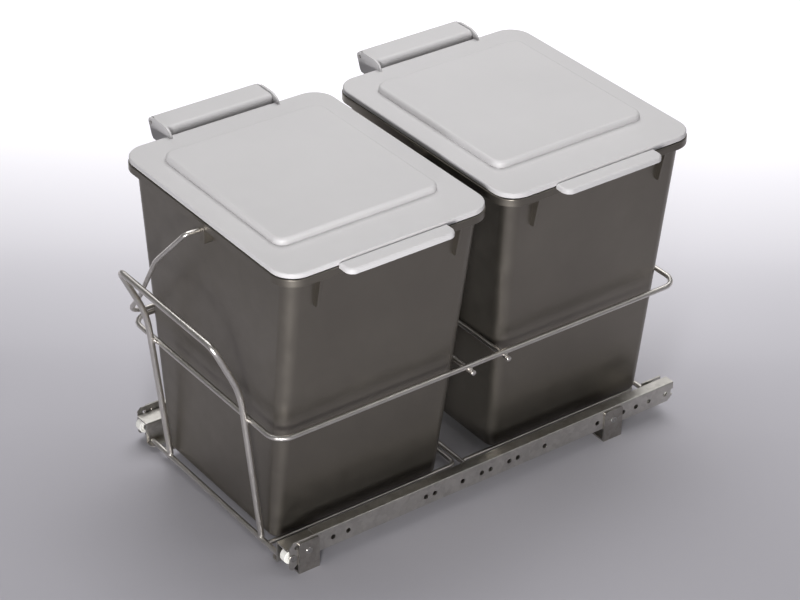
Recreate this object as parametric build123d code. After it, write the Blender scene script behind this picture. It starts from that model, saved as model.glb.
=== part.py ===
from build123d import *
import os
from math import acos, atan2, copysign, cos, hypot, sin

os.makedirs("parts", exist_ok=True)

# A twin waste bin pull-out: two lidded bins stand in a wire carriage on a pair of roller runners.
# X runs across (the side with the lid grips is +X), Y runs from the pull handle to the back, Z is up.
# The origin lies on the cabinet floor, at the centre of the four foot screws. The pieces are drawn with
# Y counted from the middle of the hoop rail, and each is moved to the origin when it is written.

# ---- driving dimensions, mm ----
bin_pitch = 231.0
lid_length = 264.0
lid_width = 216.5
lid_top = 310.0
member_face = 129.0
rail_reach_x = 120.0
rail_reach_y = 227.0
rail_height = 141.5
hole_grid = 32.0

wire = 5.0
handle_wire = 6.0
bail_wire = 4.5
sheet = 1.5
weld_sink = 0.4
clearance = 0.3

# ---- runner sizes ----
member_bottom = 14.5
member_top = 34.5
member_flange = 11.0
member_front = -221.5
member_back = 224.0
nose_length = 27.0
nose_chin = [(-221.5, 16.0), (-221.5, 8.0), (-219.0, 5.5), (-211.5, 11.5), (-207.7, 16.0)]
nose_hole = 3.8
nose_hole_z = 28.6
nose_hole_ys = (-214.5, -207.5)
web_hole = 5.0
web_hole_z = 23.5
grid_start = 1.5
grid_steps = (-5, -2, -1, 0, 1, 2, 4, 5, 6)
extra_holes = (-175.0, -72.5, -8.5, 23.5, 177.5, 214.5)

roller_width = 8.0
front_roller_y = -218.0
front_roller_radius = 7.3
rear_roller_y = 212.0
rear_roller_radius = (member_top - member_bottom) / 2 - sheet - clearance
axle_radius = 2.5
running_fit = 0.08
front_roller_z = 18.4
rear_roller_z = (member_bottom + member_top) / 2
roller_outer = member_face - sheet - 1.2
roller_inner = roller_outer - roller_width

drawer_web = 111.5
drawer_flange = 100.5
drawer_bottom = 5.0
drawer_front = -223.0
drawer_back = 223.0
track_bottom = front_roller_z + front_roller_radius + clearance
track_back = 200.0
ear_top = 31.5

# ---- foot brackets ----
bracket_width = 22.0
bracket_thickness = 2.0
bracket_height = 33.0
foot_inner = 106.0
foot_hole_x = 115.5
foot_hole_radius = 2.25
foot_front_y = -202.0
foot_back_y = 148.0
rivet_z = 21.5
rivet_radius = 2.4
rivet_head = 3.6

# ---- wire carriage ----
cross_wire_y = 20.0
cross_wire_reach = 126.5
base_wire_y = 218.0
base_wire_reach = 107.0
base_wire_z = drawer_bottom + sheet + wire / 2 - weld_sink
floor_wire_spread = 55.0
floor_wire_z = base_wire_z - wire + weld_sink
loop_side = 87.5
loop_end = 7.5
loop_corner = 8.0
rail_corner = 16.0
upright_side = 55.0
handle_side = 77.0
handle_bend_z = 172.0
handle_bar_y = -262.0
handle_bar_z = 228.0
handle_corner = 10.0
handle_bend = 110.0

# ---- bins ----
bin_bottom = base_wire_z + wire / 2 + clearance
bin_bottom_half_x = 91.0
bin_bottom_half_y = 91.0
bin_top_half_x = 125.0
bin_top_half_y = 101.0
bin_bottom_corner = 10.0
bin_top_corner = 14.5
bin_foot_shift = 6.0
bin_wall = 2.5
bin_base_round = 5.0
rim_bottom = 297.2
rim_top = 304.6
rim_proud = 0.8
gusset_y = 72.5
gusset_bottom = 267.0
gusset_reach_top = 131.8
gusset_reach_bottom = 125.5
gusset_thickness = 2.0

# ---- lids ----
lid_corner = 22.0
lid_wall = 2.2
lid_bottom = rim_top + 0.8
lid_round = 1.5
panel_length = 187.0
panel_width = 169.0
panel_x = -6.5
panel_height = 6.0
panel_corner = 10.0
panel_slope = 3.0
grip_half = 56.0
grip_reach = 17.0
grip_top = 308.5
grip_thickness = 2.8
grip_turn_down = 5.0

# ---- hinge of a lid ----
hinge_x = -160.0
hinge_z = 311.8
hinge_pin_radius = 1.5
hinge_boss = 4.6
bar_half = 56.0
bar_top = 316.8
bar_near = -134.2
bar_low = 298.0
bar_wall = 2.5
bar_round = 4.0
bar_rib_ys = (-54.5, -18.0, 18.0, 54.5)
cheek_thickness = 2.0
cheek_gap = 0.6
cheek_top = 318.3
cheek_low = 296.5
cheek_foot = -125.5

# ---- carrying bail of a bin ----
bail_pivot_z = 293.5
bail_radius = 191.0
bail_corner = 28.0
bail_turn = 2.6
rim_face_y = lid_width / 2 + rim_proud
bail_inner = rim_face_y + bail_wire / 2 + 0.7
bail_outer = 117.7
bail_stub = 123.0
bail_bow = 135.0
bail_bow_at = 49.0
bail_bow_end = 146.0
bail_tip = rim_face_y - 5.0
bail_boss_half = 9.0
bail_boss_drop = 11.0
bail_hole_gap = 0.09


def block(x0, x1, y0, y1, z0, z1):
    """A box between two corners."""
    return Pos((x0 + x1) / 2, (y0 + y1) / 2, (z0 + z1) / 2) * Box(abs(x1 - x0), abs(y1 - y0), abs(z1 - z0))


def rod_x(x0, x1, y, z, radius):
    """A round bar along X."""
    return Pos((x0 + x1) / 2, y, z) * Rot(0, 90, 0) * Cylinder(radius, abs(x1 - x0))


def rod_y(x, y0, y1, z, radius):
    """A round bar along Y."""
    return Pos(x, (y0 + y1) / 2, z) * Rot(90, 0, 0) * Cylinder(radius, abs(y1 - y0))


def bent_wire(points, radii, diameter):
    """A round wire that follows straight runs with rounded corners."""
    path = FilletPolyline(*points, radius=radii)
    section = Plane(path @ 0, z_dir=path % 0) * Circle(diameter / 2)
    return sweep(section, path=path)


def profile_along_y(outline, y0, y1):
    """A plate section drawn in X and Z, drawn out along Y."""
    points = [(x, y0, z) for x, z in outline]
    face = make_face(Polyline(*points, close=True))
    return extrude(face, amount=y1 - y0, dir=(0, 1, 0))


def rounded_slab(half_x, half_y, corner, y, z0, z1):
    """A flat slab with rounded corners."""
    outline = Pos(0, y, z0) * RectangleRounded(2 * half_x, 2 * half_y, corner)
    return extrude(outline, amount=z1 - z0)


def tapered_tub(grow, y, z0, z1):
    """The solid inside a bin's outer faces, moved outwards by grow, between two heights.

    The foot is set towards the end of the carriage that the bin stands at.
    """
    sections = []
    for z in (z0, z1):
        part = (z - bin_bottom) / (rim_bottom - bin_bottom)
        half_x = bin_bottom_half_x + part * (bin_top_half_x - bin_bottom_half_x) + grow
        half_y = bin_bottom_half_y + part * (bin_top_half_y - bin_bottom_half_y) + grow
        corner = bin_bottom_corner + part * (bin_top_corner - bin_bottom_corner) + grow
        middle = y + copysign(bin_foot_shift, y) * (1 - part)
        sections.append(Pos(0, middle, z) * RectangleRounded(2 * half_x, 2 * half_y, corner))
    return loft(sections)


def sided(shape, side):
    """A piece drawn for the +X side, put on the side asked for."""
    return shape if side > 0 else mirror(shape, Plane.YZ)


def save(name, shape):
    """Write one node, as one solid or as a group of separate solids, with the foot screws centred."""
    solids = (Pos(0, -(foot_front_y + foot_back_y) / 2, 0) * shape).solids()
    for solid in solids:
        assert solid.is_valid, name
    export_step(solids[0] if len(solids) == 1 else Compound(children=solids), "parts/" + name + ".step")


# ---- runners ----
def cabinet_member(side):
    """The fixed channel of a runner, open towards the carriage, with a cut-back nose for the roller."""
    inner = member_face - member_flange
    web = block(member_face - sheet, member_face, member_front, member_back, member_bottom, member_top)
    top = block(inner, member_face, member_front + nose_length, member_back, member_top - sheet, member_top)
    bottom = block(inner, member_face, member_front, member_back, member_bottom, member_bottom + sheet)
    channel = web + top + bottom
    edge = channel.edges().filter_by(Axis.Y).sort_by(lambda e: e.center().X + e.center().Z)[-1]
    channel = fillet(edge, 1.2)
    roller_room = front_roller_y + front_roller_radius + 3
    channel -= block(0, member_face - sheet, member_front - 1, roller_room, 0, member_bottom + 5)
    for y, z, cut in ((member_front, member_top, 6), (member_back, member_bottom, 9)):
        channel -= Pos(member_face, y, z) * Rot(45, 0, 0) * Box(40, cut, cut)
    channel -= block(member_face - 5, member_face + 5, member_back - 2.5, member_back + 1, 21, 27)
    chin = make_face(Polyline(*[(member_face, y, z) for y, z in nose_chin], close=True))
    channel += extrude(chin, amount=sheet, dir=(-1, 0, 0))
    holes = [grid_start + hole_grid * step for step in grid_steps]
    for y in holes + list(extra_holes):
        channel -= rod_x(member_face - 5, member_face + 5, y, web_hole_z, web_hole / 2)
    for y in nose_hole_ys:
        channel -= rod_x(member_face - 5, member_face + 5, y, nose_hole_z, nose_hole / 2)
    for y in (foot_front_y, foot_back_y):
        channel -= rod_x(member_face - 5, member_face + 5, y, rivet_z, rivet_radius)
    channel -= rod_x(member_face - 5, member_face + 5, front_roller_y, front_roller_z, axle_radius)
    return sided(channel, side)


def drawer_member(side):
    """The moving section of a runner: inner floor flange, web and the track over the front roller."""
    inner = drawer_web - sheet
    track_top = track_bottom + sheet
    track_edge = roller_outer + 0.2
    outline = [
        (drawer_flange, drawer_bottom),
        (drawer_web, drawer_bottom),
        (drawer_web, track_bottom),
        (track_edge, track_bottom),
        (track_edge, track_top),
        (inner, track_top),
        (inner, drawer_bottom + sheet),
        (drawer_flange, drawer_bottom + sheet),
    ]
    member = profile_along_y(outline, drawer_front, drawer_back)
    bends = [
        member.edges().filter_by(Axis.Y).sort_by_distance((inner, 0, track_top))[0],
        member.edges().filter_by(Axis.Y).sort_by_distance((drawer_web, 0, drawer_bottom))[0],
    ]
    member = fillet(bends, 1.2)
    member -= block(drawer_web, track_edge + 1, track_back, drawer_back + 1, track_bottom - 1, track_top + 1)
    member += block(inner, drawer_web, track_back, drawer_back, track_bottom - 2, ear_top)
    member -= rod_x(inner - 5, drawer_web + 5, rear_roller_y, rear_roller_z, axle_radius)
    corners = [e for e in member.edges().filter_by(Axis.Z) if abs(e.center().X - drawer_flange) < 0.1]
    member = fillet(corners, 5.0)
    return sided(member, side)


def roller(side, y, z, radius):
    """A moulded roller with a shallow dished face, bored for its axle."""
    wheel = rod_x(roller_inner, roller_outer, y, z, radius)
    wheel = chamfer(wheel.edges().filter_by(GeomType.CIRCLE), 0.6)
    wheel -= rod_x(roller_inner - 1, roller_inner + 1.2, y, z, radius - 1.8)
    wheel += rod_x(roller_inner, roller_inner + 2, y, z, axle_radius + 1.4)
    wheel -= rod_x(roller_inner - 1, roller_outer + 1, y, z, axle_radius + running_fit)
    return sided(wheel, side)


def front_roller_axle(side):
    """A rivet through the fixed web, headed on both ends, that the front roller turns on."""
    axle = rod_x(roller_inner - 1.2, member_face + 0.8, front_roller_y, front_roller_z, axle_radius)
    axle += rod_x(member_face, member_face + 0.9, front_roller_y, front_roller_z, axle_radius + 1.2)
    axle += rod_x(roller_inner - 1.3, roller_inner - clearance, front_roller_y, front_roller_z, axle_radius + 1.0)
    return sided(axle, side)


def rear_roller_axle(side):
    """A rivet through the rear ear of the moving section, that the rear roller turns on."""
    ear = drawer_web
    axle = rod_x(ear - sheet - 0.8, roller_outer + 0.8, rear_roller_y, rear_roller_z, axle_radius)
    axle += rod_x(ear - sheet - 0.9, ear - sheet, rear_roller_y, rear_roller_z, axle_radius + 1.2)
    axle += rod_x(ear, roller_inner - clearance, rear_roller_y, rear_roller_z, axle_radius + 1.2)
    axle += rod_x(roller_outer + clearance, roller_outer + 0.9, rear_roller_y, rear_roller_z, axle_radius + 0.9)
    return sided(axle, side)


def bracket(side, y):
    """An angle that stands on the floor outside the web, its foot turned in under the runner."""
    y0 = y - bracket_width / 2
    y1 = y + bracket_width / 2
    outer = member_face + bracket_thickness
    upright = block(member_face, outer, y0, y1, 0, bracket_height)
    foot = block(foot_inner, outer, y0, y1, 0, bracket_thickness)
    angle = upright + foot
    angle = fillet([e for e in angle.edges().filter_by(Axis.Z) if e.center().X < foot_inner + 0.1], 5.0)
    tops = [e for e in angle.edges().filter_by(Axis.X) if e.center().Z > bracket_height - 0.1]
    angle = fillet(tops, 2.5)
    angle -= Pos(foot_hole_x, y, 0) * Cylinder(foot_hole_radius, 10)
    angle -= rod_x(member_face - 1, outer + 1, y, rivet_z, rivet_radius)
    return sided(angle, side)


def bracket_rivet(side, y):
    """A rivet that joins a bracket to the fixed web."""
    outer = member_face + bracket_thickness
    rivet = rod_x(member_face - sheet, outer, y, rivet_z, rivet_radius)
    rivet += rod_x(outer, outer + 0.9, y, rivet_z, rivet_head)
    rivet += rod_x(member_face - sheet - 0.9, member_face - sheet, y, rivet_z, rivet_head)
    return sided(rivet, side)


# ---- wire carriage ----
def hoop_rail():
    """The closed wire loop that holds the bins at mid height."""
    x, y, z = rail_reach_x, rail_reach_y, rail_height
    right = bent_wire([(0, -y, z), (x, -y, z), (x, y, z), (0, y, z)], [rail_corner] * 2, wire)
    left = mirror(right, Plane.YZ)
    return right + left


def cross_wire(y):
    """A straight wire under the hoop rail that passes between the two bins."""
    z = rail_height - wire + weld_sink
    return rod_x(-cross_wire_reach, cross_wire_reach, y, z, wire / 2)


def base_wire(y):
    """A straight wire welded on the bottom flanges of both moving sections."""
    return rod_x(-base_wire_reach, base_wire_reach, y, base_wire_z, wire / 2)


def floor_wire(y):
    """A straight wire under the base loop, welded to the edges of both bottom flanges."""
    reach = drawer_flange + weld_sink
    return rod_x(-reach, reach, y, floor_wire_z, wire / 2)


def base_loop(front_wire_y):
    """The wire that one bin stands on: welded to the base wire in front of it, closed near the next."""
    x = loop_side
    open_y = front_wire_y + wire / 2 - weld_sink
    closed_y = front_wire_y + base_wire_y - loop_end
    ends = [(-x, open_y), (-x, closed_y), (x, closed_y), (x, open_y)]
    return bent_wire([(px, py, base_wire_z) for px, py in ends], [loop_corner] * 2, wire)


def leg_y(z):
    """How far out a leg stands at a height, between the base wire and the hoop rail."""
    low = base_wire_y - 1.0
    high = rail_reach_y + wire / 2 + handle_wire / 2 - weld_sink
    return low + (high - low) * (z - base_wire_z) / (rail_height - base_wire_z)


def pull_handle():
    """The bent wire at the front that ties the base to the hoop rail and is pulled by hand."""
    foot_z = base_wire_z + wire / 2 - weld_sink
    x = handle_side
    side = [
        (x, -leg_y(foot_z), foot_z),
        (x, -leg_y(handle_bend_z), handle_bend_z),
        (x, handle_bar_y, handle_bar_z),
    ]
    points = [(-px, py, pz) for px, py, pz in side] + side[::-1]
    return bent_wire(points, [handle_bend, handle_corner, handle_corner, handle_bend], handle_wire)


def rear_upright(side):
    """A straight post at the back that ties the base to the hoop rail."""
    foot_z = base_wire_z + wire / 2 - weld_sink
    top_z = rail_height + wire / 2
    foot = (side * upright_side, leg_y(foot_z), foot_z)
    top = (side * upright_side, leg_y(top_z), top_z)
    post = Line(foot, top)
    return sweep(Plane(post @ 0, z_dir=post % 0) * Circle(handle_wire / 2), path=post)


# ---- bins ----
def bin_tub(y):
    """A tapered bin with a turned-down rim, gussets under the rim and bosses for its bail."""
    outer = tapered_tub(0, y, bin_bottom, rim_top)
    outer = fillet(outer.faces().sort_by(Axis.Z)[0].edges(), bin_base_round)
    half_x = lid_length / 2 + rim_proud
    half_y = rim_face_y
    collar = rounded_slab(half_x, half_y, lid_corner, y, rim_bottom, rim_top)
    collar = fillet(collar.faces().sort_by(Axis.Z)[-1].edges(), 0.8)
    collar -= rounded_slab(half_x - bin_wall, half_y - bin_wall, lid_corner - bin_wall, y, 0, rim_top - bin_wall)
    tub = outer + collar
    for side in (-1, 1):
        for offset in (-gusset_y, gusset_y):
            tub += gusset(side, y + offset)
        tub += bail_boss(y, side)
    tub -= tapered_tub(-bin_wall, y, bin_bottom + bin_wall, rim_top + 5)
    for side in (-1, 1):
        tub -= rod_y(0, y + side * 60, y + side * (half_y + 1), bail_pivot_z, bail_wire / 2 + bail_hole_gap)
    return tub


def gusset(side, y):
    """A thin tapered web between the wall and the rim."""
    wall_low = bin_top_half_x - 6
    outline = [
        (wall_low, gusset_bottom),
        (gusset_reach_bottom, gusset_bottom),
        (gusset_reach_top, rim_bottom),
        (gusset_reach_top, rim_top - 1),
        (wall_low, rim_top - 1),
    ]
    web = profile_along_y(outline, y - gusset_thickness / 2, y + gusset_thickness / 2)
    return sided(web, side)


def bail_boss(y, side):
    """The thick place under the rim that an end of the bail turns in."""
    face = y + side * (rim_face_y + 0.3)
    inner = y + side * (bin_top_half_y - 4)
    low = bail_pivot_z - bail_boss_drop
    return block(-bail_boss_half, bail_boss_half, inner, face, low, rim_top - 1)


def lid(y):
    """A moulded lid: flat shell, raised panel, grip on the near side, two cheeks on the hinge side."""
    half_x = lid_length / 2
    half_y = lid_width / 2
    shell = rounded_slab(half_x, half_y, lid_corner, y, lid_bottom, lid_top)
    shell = fillet(shell.faces().sort_by(Axis.Z)[-1].edges(), lid_round)
    shell -= rounded_slab(half_x - lid_wall, half_y - lid_wall, lid_corner - lid_wall, y, 0, lid_top - lid_wall)
    shell += raised_panel(y, 0, lid_top - 1, lid_top + panel_height)
    shell -= raised_panel(y, -lid_wall, lid_bottom, lid_top + panel_height - lid_wall)
    shell += grip(y)
    for side in (-1, 1):
        shell += cheek(y, side)
    return shell


def raised_panel(y, grow, z0, z1):
    """The raised field of a lid, with sloping sides."""
    low = Pos(panel_x, y, z0) * RectangleRounded(panel_length + 2 * grow, panel_width + 2 * grow, panel_corner)
    inset = 2 * grow - 2 * panel_slope
    high = Pos(panel_x, y, z1) * RectangleRounded(panel_length + inset, panel_width + inset, panel_corner - 1)
    return loft([low, high])


def grip(y):
    """The lip that a finger lifts the lid by."""
    half_x = lid_length / 2
    top = block(half_x - 3, half_x + grip_reach, y - grip_half, y + grip_half, grip_top - grip_thickness, grip_top)
    edge_x = half_x + grip_reach
    turned = block(edge_x - 2.2, edge_x, y - grip_half, y + grip_half, grip_top - grip_turn_down, grip_top)
    lip = top + turned
    ends = [e for e in lip.edges().filter_by(Axis.Z) if e.center().X > edge_x - 0.1]
    return fillet(ends, 8.0)


def cheek(y, side):
    """An arm of the lid that reaches out beside the hinge bar and turns on the hinge pin."""
    near = y + side * (bar_half + cheek_gap)
    far = near + side * cheek_thickness
    outline = [
        (cheek_foot, lid_bottom + 0.5),
        (cheek_foot, lid_top),
        (cheek_foot - 1.5, lid_top + 3),
        (cheek_foot - 4, lid_top + 5.7),
        (cheek_foot - 8, lid_top + 7.5),
        (cheek_foot - 13, cheek_top),
        (hinge_x + 8, cheek_top),
        (hinge_x, hinge_z + hinge_boss),
        (hinge_x + 0.5, cheek_low),
        (hinge_x + 19, cheek_low),
        (hinge_x + 25.2, rim_top),
        (hinge_x + 26.5, lid_bottom + 0.5),
    ]
    plate = profile_along_y(outline, min(near, far), max(near, far))
    plate += rod_y(hinge_x, near, far, hinge_z, hinge_boss)
    plate -= rod_y(hinge_x, near - side, far + side, hinge_z, hinge_pin_radius + running_fit)
    return plate


def hinge_bar(y):
    """The fixed bar beyond the lid's edge: a ribbed cover round a barrel, on a foot against the rim."""
    y0 = y - bar_half
    y1 = y + bar_half
    rim_face = -lid_length / 2 - rim_proud
    barrel = bar_top - hinge_z
    bar = block(hinge_x, bar_near, y0, y1, bar_top - bar_wall, bar_top)
    bar += block(bar_near - bar_wall, bar_near, y0, y1, bar_low, bar_top)
    near_top = bar.edges().filter_by(Axis.Y).sort_by(lambda e: e.center().X + e.center().Z)[-1]
    bar = fillet(near_top, bar_round)
    bar += block(bar_near - bar_wall, rim_face, y0, y1, bar_low, rim_top - 1)
    bar += rod_y(hinge_x, y0, y1, hinge_z, barrel)
    outline = [
        (bar_near - 1, bar_low),
        (bar_near - 1, bar_top - bar_round),
        (bar_near - bar_round, bar_top - 1),
        (hinge_x, bar_top - 1),
        (hinge_x, hinge_z - 2),
    ]
    for rib in bar_rib_ys:
        bar += profile_along_y(outline, y + rib - 1, y + rib + 1)
    bar -= rod_y(hinge_x, y0 - 1, y1 + 1, hinge_z, hinge_pin_radius)
    return bar


def hinge_pin(y):
    """The steel pin through the hinge bar and both cheeks."""
    reach = bar_half + cheek_gap + cheek_thickness + 0.6
    return rod_y(hinge_x, y - reach, y + reach, hinge_z, hinge_pin_radius)


def bail(y, end):
    """The wire handle of one bin at rest on the hoop rail; its leg towards the given end bows out."""
    apart = hypot(rail_reach_x, bail_pivot_z - rail_height)
    touch = (wire + bail_wire) / 2 + clearance
    lift = acos((bail_radius**2 + apart**2 - touch**2) / (2 * bail_radius * apart))
    lean = atan2(rail_reach_x, bail_pivot_z - rail_height) + lift
    route = [
        (0, bail_tip),
        (0, bail_stub),
        (bail_bow_at, bail_bow),
        (bail_bow_end, bail_outer),
        (bail_radius, bail_outer),
        (bail_radius, -bail_inner),
        (0, -bail_inner),
        (0, -bail_tip),
    ]
    points = [(-far * sin(lean), y + end * out, bail_pivot_z - far * cos(lean)) for far, out in route]
    return bent_wire(points, [5.0] + [bail_corner] * 4 + [bail_turn], bail_wire)


# ---- write every node ----
SIDES = {"left": -1, "right": 1}
for name, side in SIDES.items():
    save(name + "_cabinet_member", cabinet_member(side))
    save(name + "_drawer_member", drawer_member(side))
    save("front_" + name + "_roller", roller(side, front_roller_y, front_roller_z, front_roller_radius))
    save("rear_" + name + "_roller", roller(side, rear_roller_y, rear_roller_z, rear_roller_radius))
    save("front_" + name + "_bracket", bracket(side, foot_front_y))
    save("rear_" + name + "_bracket", bracket(side, foot_back_y))

feet = [(side, y) for side in SIDES.values() for y in (foot_front_y, foot_back_y)]
save("bracket_rivets", Compound(children=[bracket_rivet(side, y) for side, y in feet]))
save("front_roller_axles", Compound(children=[front_roller_axle(side) for side in SIDES.values()]))
save("rear_roller_axles", Compound(children=[rear_roller_axle(side) for side in SIDES.values()]))

save("hoop_rail", hoop_rail())
save("centre_base_wire", base_wire(0))
for name, end in {"front": -1, "rear": 1}.items():
    y = end * bin_pitch / 2
    save(name + "_cross_wire", cross_wire(end * cross_wire_y))
    save(name + "_base_wire", base_wire(end * base_wire_y))
    save(name + "_base_loop", base_loop((end - 1) / 2 * base_wire_y))
    floor_wires = [floor_wire(y + step * floor_wire_spread) for step in (-1, 1)]
    save(name + "_floor_wires", Compound(children=floor_wires))
    save(name + "_bin", bin_tub(y))
    save(name + "_lid", lid(y))
    save(name + "_hinge_bar", hinge_bar(y))
    save(name + "_hinge_pin", hinge_pin(y))
    save(name + "_bail", bail(y, end))
save("pull_handle", pull_handle())
save("rear_uprights", Compound(children=[rear_upright(side) for side in SIDES.values()]))
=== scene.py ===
"""Looks for a twin waste bin pull-out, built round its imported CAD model.

Sizes are in millimetres, with X across, Z up from the cabinet floor and Y counted from the middle of the
hoop rail. Every mesh is turned into metres, and moved to the origin of the CAD model, when it is finished.
"""

import logging
from collections.abc import Iterable, Sequence
from dataclasses import dataclass, field
from enum import Enum
from math import acos, atan2, cos, hypot, pi, radians, sin

import bmesh
import bpy
from mathutils import Matrix, Vector


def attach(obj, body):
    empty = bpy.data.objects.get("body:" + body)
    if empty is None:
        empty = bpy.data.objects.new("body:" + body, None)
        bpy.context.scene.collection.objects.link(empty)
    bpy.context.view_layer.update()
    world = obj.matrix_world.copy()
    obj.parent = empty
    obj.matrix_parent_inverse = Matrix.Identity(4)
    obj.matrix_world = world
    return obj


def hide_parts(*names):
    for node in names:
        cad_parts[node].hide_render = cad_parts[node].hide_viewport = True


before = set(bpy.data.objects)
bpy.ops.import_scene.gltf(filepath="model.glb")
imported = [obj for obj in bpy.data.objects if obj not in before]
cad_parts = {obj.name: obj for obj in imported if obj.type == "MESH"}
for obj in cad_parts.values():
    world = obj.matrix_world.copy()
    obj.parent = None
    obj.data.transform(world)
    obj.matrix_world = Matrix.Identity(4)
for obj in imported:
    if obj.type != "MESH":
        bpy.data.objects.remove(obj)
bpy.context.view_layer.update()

log = logging.getLogger("bin_pull_out")

Spot = tuple[float, float]
Outline = Sequence[Spot]
Point = tuple[float, float, float]
Ring = list[Point]
Colour = tuple[float, float, float]
Socket = bpy.types.NodeSocket
Inputs = dict[str | int, object]

MM = 0.001
ORIGIN_SHIFT = 27.0

# What more than one sub-assembly shares: how far apart the bins stand along Y, the hinge pin's X and Z, half
# the length of the hinge bar, and how far the bins' rims reach from a bin's middle along Y and along X.
BIN_PITCH = 231.0
HINGE_AXIS: Spot = (-160.0, 311.8)
BAR_HALF = 56.0
RIM_FACE = 109.05
RIM_REACH = 132.8


class Opposite(Enum):
    """One of two opposite places, -1 or 1 along its axis."""

    @property
    def label(self) -> str:
        """The word that the CAD nodes and bodies use."""
        return self.name.lower()


class End(Opposite):
    """The two bins, by the end of the carriage that they stand at."""

    FRONT = -1
    REAR = 1


class Side(Opposite):
    """The two runners, by the side of the carriage."""

    LEFT = -1
    RIGHT = 1


def linear(red: int, green: int, blue: int) -> Colour:
    """A screen colour, with parts of 0 to 255, as the linear colour that a shader takes."""
    parts = [part / 255 for part in (red, green, blue)]
    return tuple(p / 12.92 if p <= 0.04045 else ((p + 0.055) / 1.055) ** 2.4 for p in parts)


class NodeDraft:
    """A node tree under construction."""

    tree: bpy.types.NodeTree

    def join(self, start: Socket, end: Socket) -> None:
        """Link two sockets."""
        self.tree.links.new(start, end)

    def node(self, kind: str, inputs: Inputs | None = None, **settings: object) -> bpy.types.Node:
        """Add a node.

        Args:
            kind: The node's type.
            inputs: For an input, by its name or number, a fixed value or the socket that feeds it.
            settings: The node's properties.

        Returns:
            The new node.
        """
        made = self.tree.nodes.new(kind)
        for key, value in settings.items():
            setattr(made, key, value)
        for key, value in (inputs or {}).items():
            if isinstance(value, Socket):
                self.join(value, made.inputs[key])
            else:
                made.inputs[key].default_value = value
        return made

    def add(self, kind: str, output: str, inputs: Inputs | None = None, **settings: object) -> Socket:
        """Add a node as node() does, and give its named output."""
        return self.node(kind, inputs, **settings).outputs[output]

    def maths(self, operation: str, first: Socket | float, second: Socket | float) -> Socket:
        """The result of one operation on two values."""
        return self.add("ShaderNodeMath", "Value", {0: first, 1: second}, operation=operation)


# ---- finishes ----
class ShaderDraft(NodeDraft):
    """A material under construction. Its patterns read Object coordinates, in metres."""

    def __init__(self, name: str) -> None:
        """Start an empty material.

        Args:
            name: The material's name.
        """
        self.material = bpy.data.materials.new(name)
        self.material.use_nodes = True
        self.tree = self.material.node_tree
        self.tree.nodes.clear()
        self.place = self.add("ShaderNodeTexCoord", "Object")

    def stretched(self, scale: Point) -> Socket:
        """Object coordinates with their own scale on each axis."""
        return self.add("ShaderNodeMapping", "Vector", {"Vector": self.place, "Scale": scale})

    def noise(self, scale: float, detail: float, place: Socket | None = None) -> Socket:
        """Noise of so many features a metre and so many octaves, over the plain coordinates or others."""
        return self.add("ShaderNodeTexNoise", "Fac", {
            "Vector": place or self.place, "Scale": scale, "Detail": detail})

    def spread(self, value: Socket, low: float, high: float, edges: Spot = (0.3, 0.7)) -> Socket:
        """A value mapped onto low to high, between two edges that noise mostly lies within."""
        return self.add("ShaderNodeMapRange", "Result", {
            "Value": value, "From Min": edges[0], "From Max": edges[1], "To Min": low, "To Max": high})

    def roughness(self, scale: float, detail: float, middle: float, under: float, over: float) -> Socket:
        """A roughness in patches, which falls under its middle and rises over it by up to so much."""
        return self.spread(self.noise(scale, detail), middle - under, middle + over)

    def blend(self, factor: Socket, first: Colour, second: Colour) -> Socket:
        """Two colours mixed by a factor.

        Args:
            factor: The mixing value.
            first: The colour at 0.
            second: The colour at 1.

        Returns:
            The mixed colour's socket.
        """
        mixer = self.node("ShaderNodeMix", {"Factor": factor}, data_type="RGBA")
        for socket, colour in zip((s for s in mixer.inputs if s.type == "RGBA"), (first, second)):
            socket.default_value = (*colour, 1)
        return next(socket for socket in mixer.outputs if socket.type == "RGBA")

    def relief(self, height: Socket, depth: float, strength: float, under: Socket | None = None) -> Socket:
        """A bump from a height value.

        Args:
            height: The height, 0 to 1.
            depth: The depth that a height of 1 stands for, in metres.
            strength: How much of it shows.
            under: A coarser bump that this one lies on.

        Returns:
            The normal's socket.
        """
        coarse = {"Normal": under} if under else {}
        return self.add("ShaderNodeBump", "Normal", {
            "Height": height, "Distance": depth, "Strength": strength, **coarse})

    def surface(self, inputs: Inputs, glow: Socket | None = None) -> bpy.types.Material:
        """Close the material with one Principled shader.

        Args:
            inputs: The shader's inputs, fixed values and sockets.
            glow: A shader of light that is added to it.

        Returns:
            The finished material.
        """
        shader = self.add("ShaderNodeBsdfPrincipled", "BSDF", inputs)
        if glow:
            shader = self.add("ShaderNodeAddShader", "Shader", {0: shader, 1: glow})
        self.node("ShaderNodeOutputMaterial", {"Surface": shader})
        return self.material


@dataclass(frozen=True)
class MouldedPlastic:
    """Moulded plastic, with or without metal flakes: fine grain, cloudy tone and faint flow marks.

    Scales are in features per metre, and depths in metres.
    """

    name: str
    colour: Colour
    cloud: Colour
    gloss: float
    flakes: float = 0.0
    refraction: float = 1.49
    cloud_scale: float = 9.0
    gloss_scale: float = 55.0
    flow_scale: Point = (35.0, 35.0, 6.0)
    flow_depth: float = 0.0006
    grain_scale: float = 1500.0
    grain_depth: float = 0.00006

    def material(self) -> bpy.types.Material:
        """The finish as a material."""
        draft = ShaderDraft(self.name)
        clouds = draft.spread(draft.noise(self.cloud_scale, 3.0), 0.0, 1.0)
        flow = draft.noise(1.0, 2.0, draft.stretched(self.flow_scale))
        soft = draft.relief(flow, self.flow_depth, 0.35)
        return draft.surface({
            "Base Color": draft.blend(clouds, self.colour, self.cloud),
            "Metallic": self.flakes,
            "Roughness": draft.roughness(self.gloss_scale, 4.0, self.gloss, 0.05, 0.06),
            "IOR": self.refraction,
            "Normal": draft.relief(draft.noise(self.grain_scale, 2.0), self.grain_depth, 0.8, soft),
        })


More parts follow.
